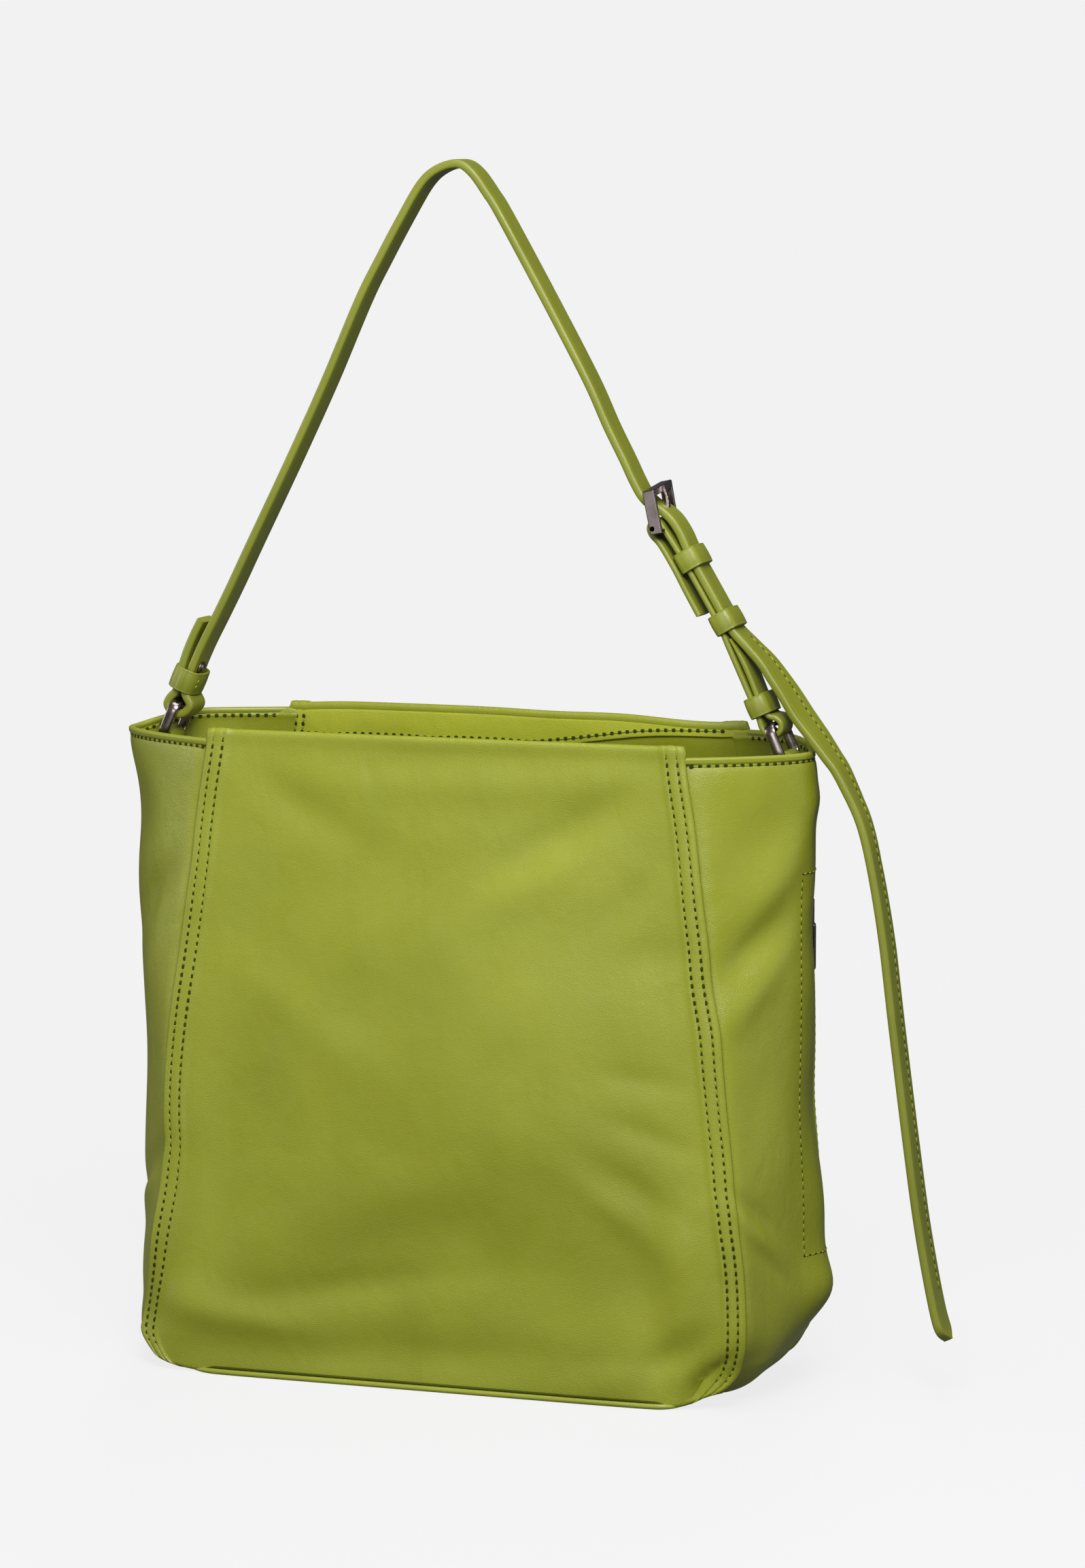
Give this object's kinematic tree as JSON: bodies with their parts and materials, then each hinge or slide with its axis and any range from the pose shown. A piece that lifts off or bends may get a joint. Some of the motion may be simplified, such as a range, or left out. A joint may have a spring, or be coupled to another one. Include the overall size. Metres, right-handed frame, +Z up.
{
  "type": "shoulder bag",
  "caption": "Upright leather shoulder bag with a trapezoid front, soft side gussets, a buckled shoulder strap with a long hanging tail, and strap rings.",
  "frame": {"origin": "middle of the flat underside of the base", "axes": "+X to the bag's right, towards the buckle and the hanging tail; +Y to the back panel; +Z up to the strap"},
  "size_m": [0.4393, 0.1346, 0.6158],
  "materials": {
    "leather": "soft semi-matt lime green nappa with fine grain",
    "strap_leather": "smooth semi-matt lime green strap leather with painted edges",
    "leather_edge": "rolled leather edge, slightly lighter",
    "gunmetal": "polished dark gunmetal plating",
    "lining_cloth": "plain cotton twill",
    "zip_tape_cloth": "woven polyester tape",
    "stiffener": "plain hard board"
  },
  "bodies": {
    "bag": {"front_panel": "leather", "back_panel": "leather", "left_gusset": "leather", "right_gusset": "leather", "base_panel": "leather", "base_board": "stiffener", "lining": "lining_cloth", "front_facing": "leather", "back_facing": "leather", "left_rim_edge": "leather_edge", "right_rim_edge": "leather_edge", "front_base_piping": "leather_edge", "back_base_piping": "leather_edge", "left_ring_tab": "leather", "right_ring_tab": "leather", "zip_frame": "leather", "zip_tape": "zip_tape_cloth", "zip_teeth": "gunmetal", "pocket_pouch": "lining_cloth"},
    "handle": {"left_ring": "gunmetal", "right_ring": "gunmetal", "shoulder_strap": "strap_leather", "strap_stud": "gunmetal", "left_keeper": "strap_leather", "buckle_strap": "strap_leather", "buckle_frame": "gunmetal", "buckle_pin": "gunmetal"},
    "prong": {"buckle_prong": "gunmetal"},
    "upper_keeper": {"upper_keeper": "strap_leather"},
    "lower_keeper": {"lower_keeper": "strap_leather"},
    "ring_keeper": {"ring_keeper": "strap_leather"},
    "tail_root": {"strap_tail_top": "strap_leather"},
    "tail": {"strap_tail": "strap_leather"},
    "zip_slider": {"zip_slider": "gunmetal"},
    "zip_puller": {"zip_puller": "gunmetal"}
  },
  "joints": [
    {"name": "handle_tilt", "type": "hinge", "parent": "bag", "child": "handle", "pos_m": [0, 0, 0.3198], "axis": [1, 0, 0], "range_deg": [-45, 45], "deforming": ["left_ring_tab", "right_ring_tab"]},
    {"name": "tail_hang", "type": "hinge", "parent": "handle", "child": "tail_root", "pos_m": [0.1466, 0, 0.3763], "axis": [1, 0, 0], "range_deg": [-45, 45]},
    {"name": "tail_swing", "type": "hinge", "parent": "tail_root", "child": "tail", "pos_m": [0.188, 0, 0.3232], "axis": [0, 1, 0], "range_deg": [-25, 4], "stiffness_Nm_per_rad": 0.05, "springref_deg": -7.79},
    {"name": "prong_pivot", "type": "hinge", "parent": "handle", "child": "prong", "pos_m": [0.09917, 0, 0.43386], "axis": [0, 1, 0], "range_deg": [0, 8]},
    {"name": "upper_keeper_slide", "type": "slide", "parent": "handle", "child": "upper_keeper", "axis": [0.509, 0, -0.8607], "range_m": [0, 0.012]},
    {"name": "lower_keeper_slide", "type": "slide", "parent": "handle", "child": "lower_keeper", "axis": [0.509, 0, -0.8607], "range_m": [-0.01, 0]},
    {"name": "ring_keeper_slide", "type": "slide", "parent": "handle", "child": "ring_keeper", "axis": [0.4176, 0, -0.9086], "range_m": [-0.012, 0]},
    {"name": "zip_slide", "type": "slide", "parent": "bag", "child": "zip_slider", "axis": [0.0318, 0.0252, -0.9992], "range_m": [0, 0.165]},
    {"name": "zip_pull_swing", "type": "hinge", "parent": "zip_slider", "child": "zip_puller", "pos_m": [0.16888, 0.03124, 0.24141], "axis": [0.5736, -0.8191, 0], "range_deg": [0, 110]}
  ],
  "couplings": [
    {"joint": "tail_hang", "follows": "handle_tilt", "ratio": -1}
  ]
}
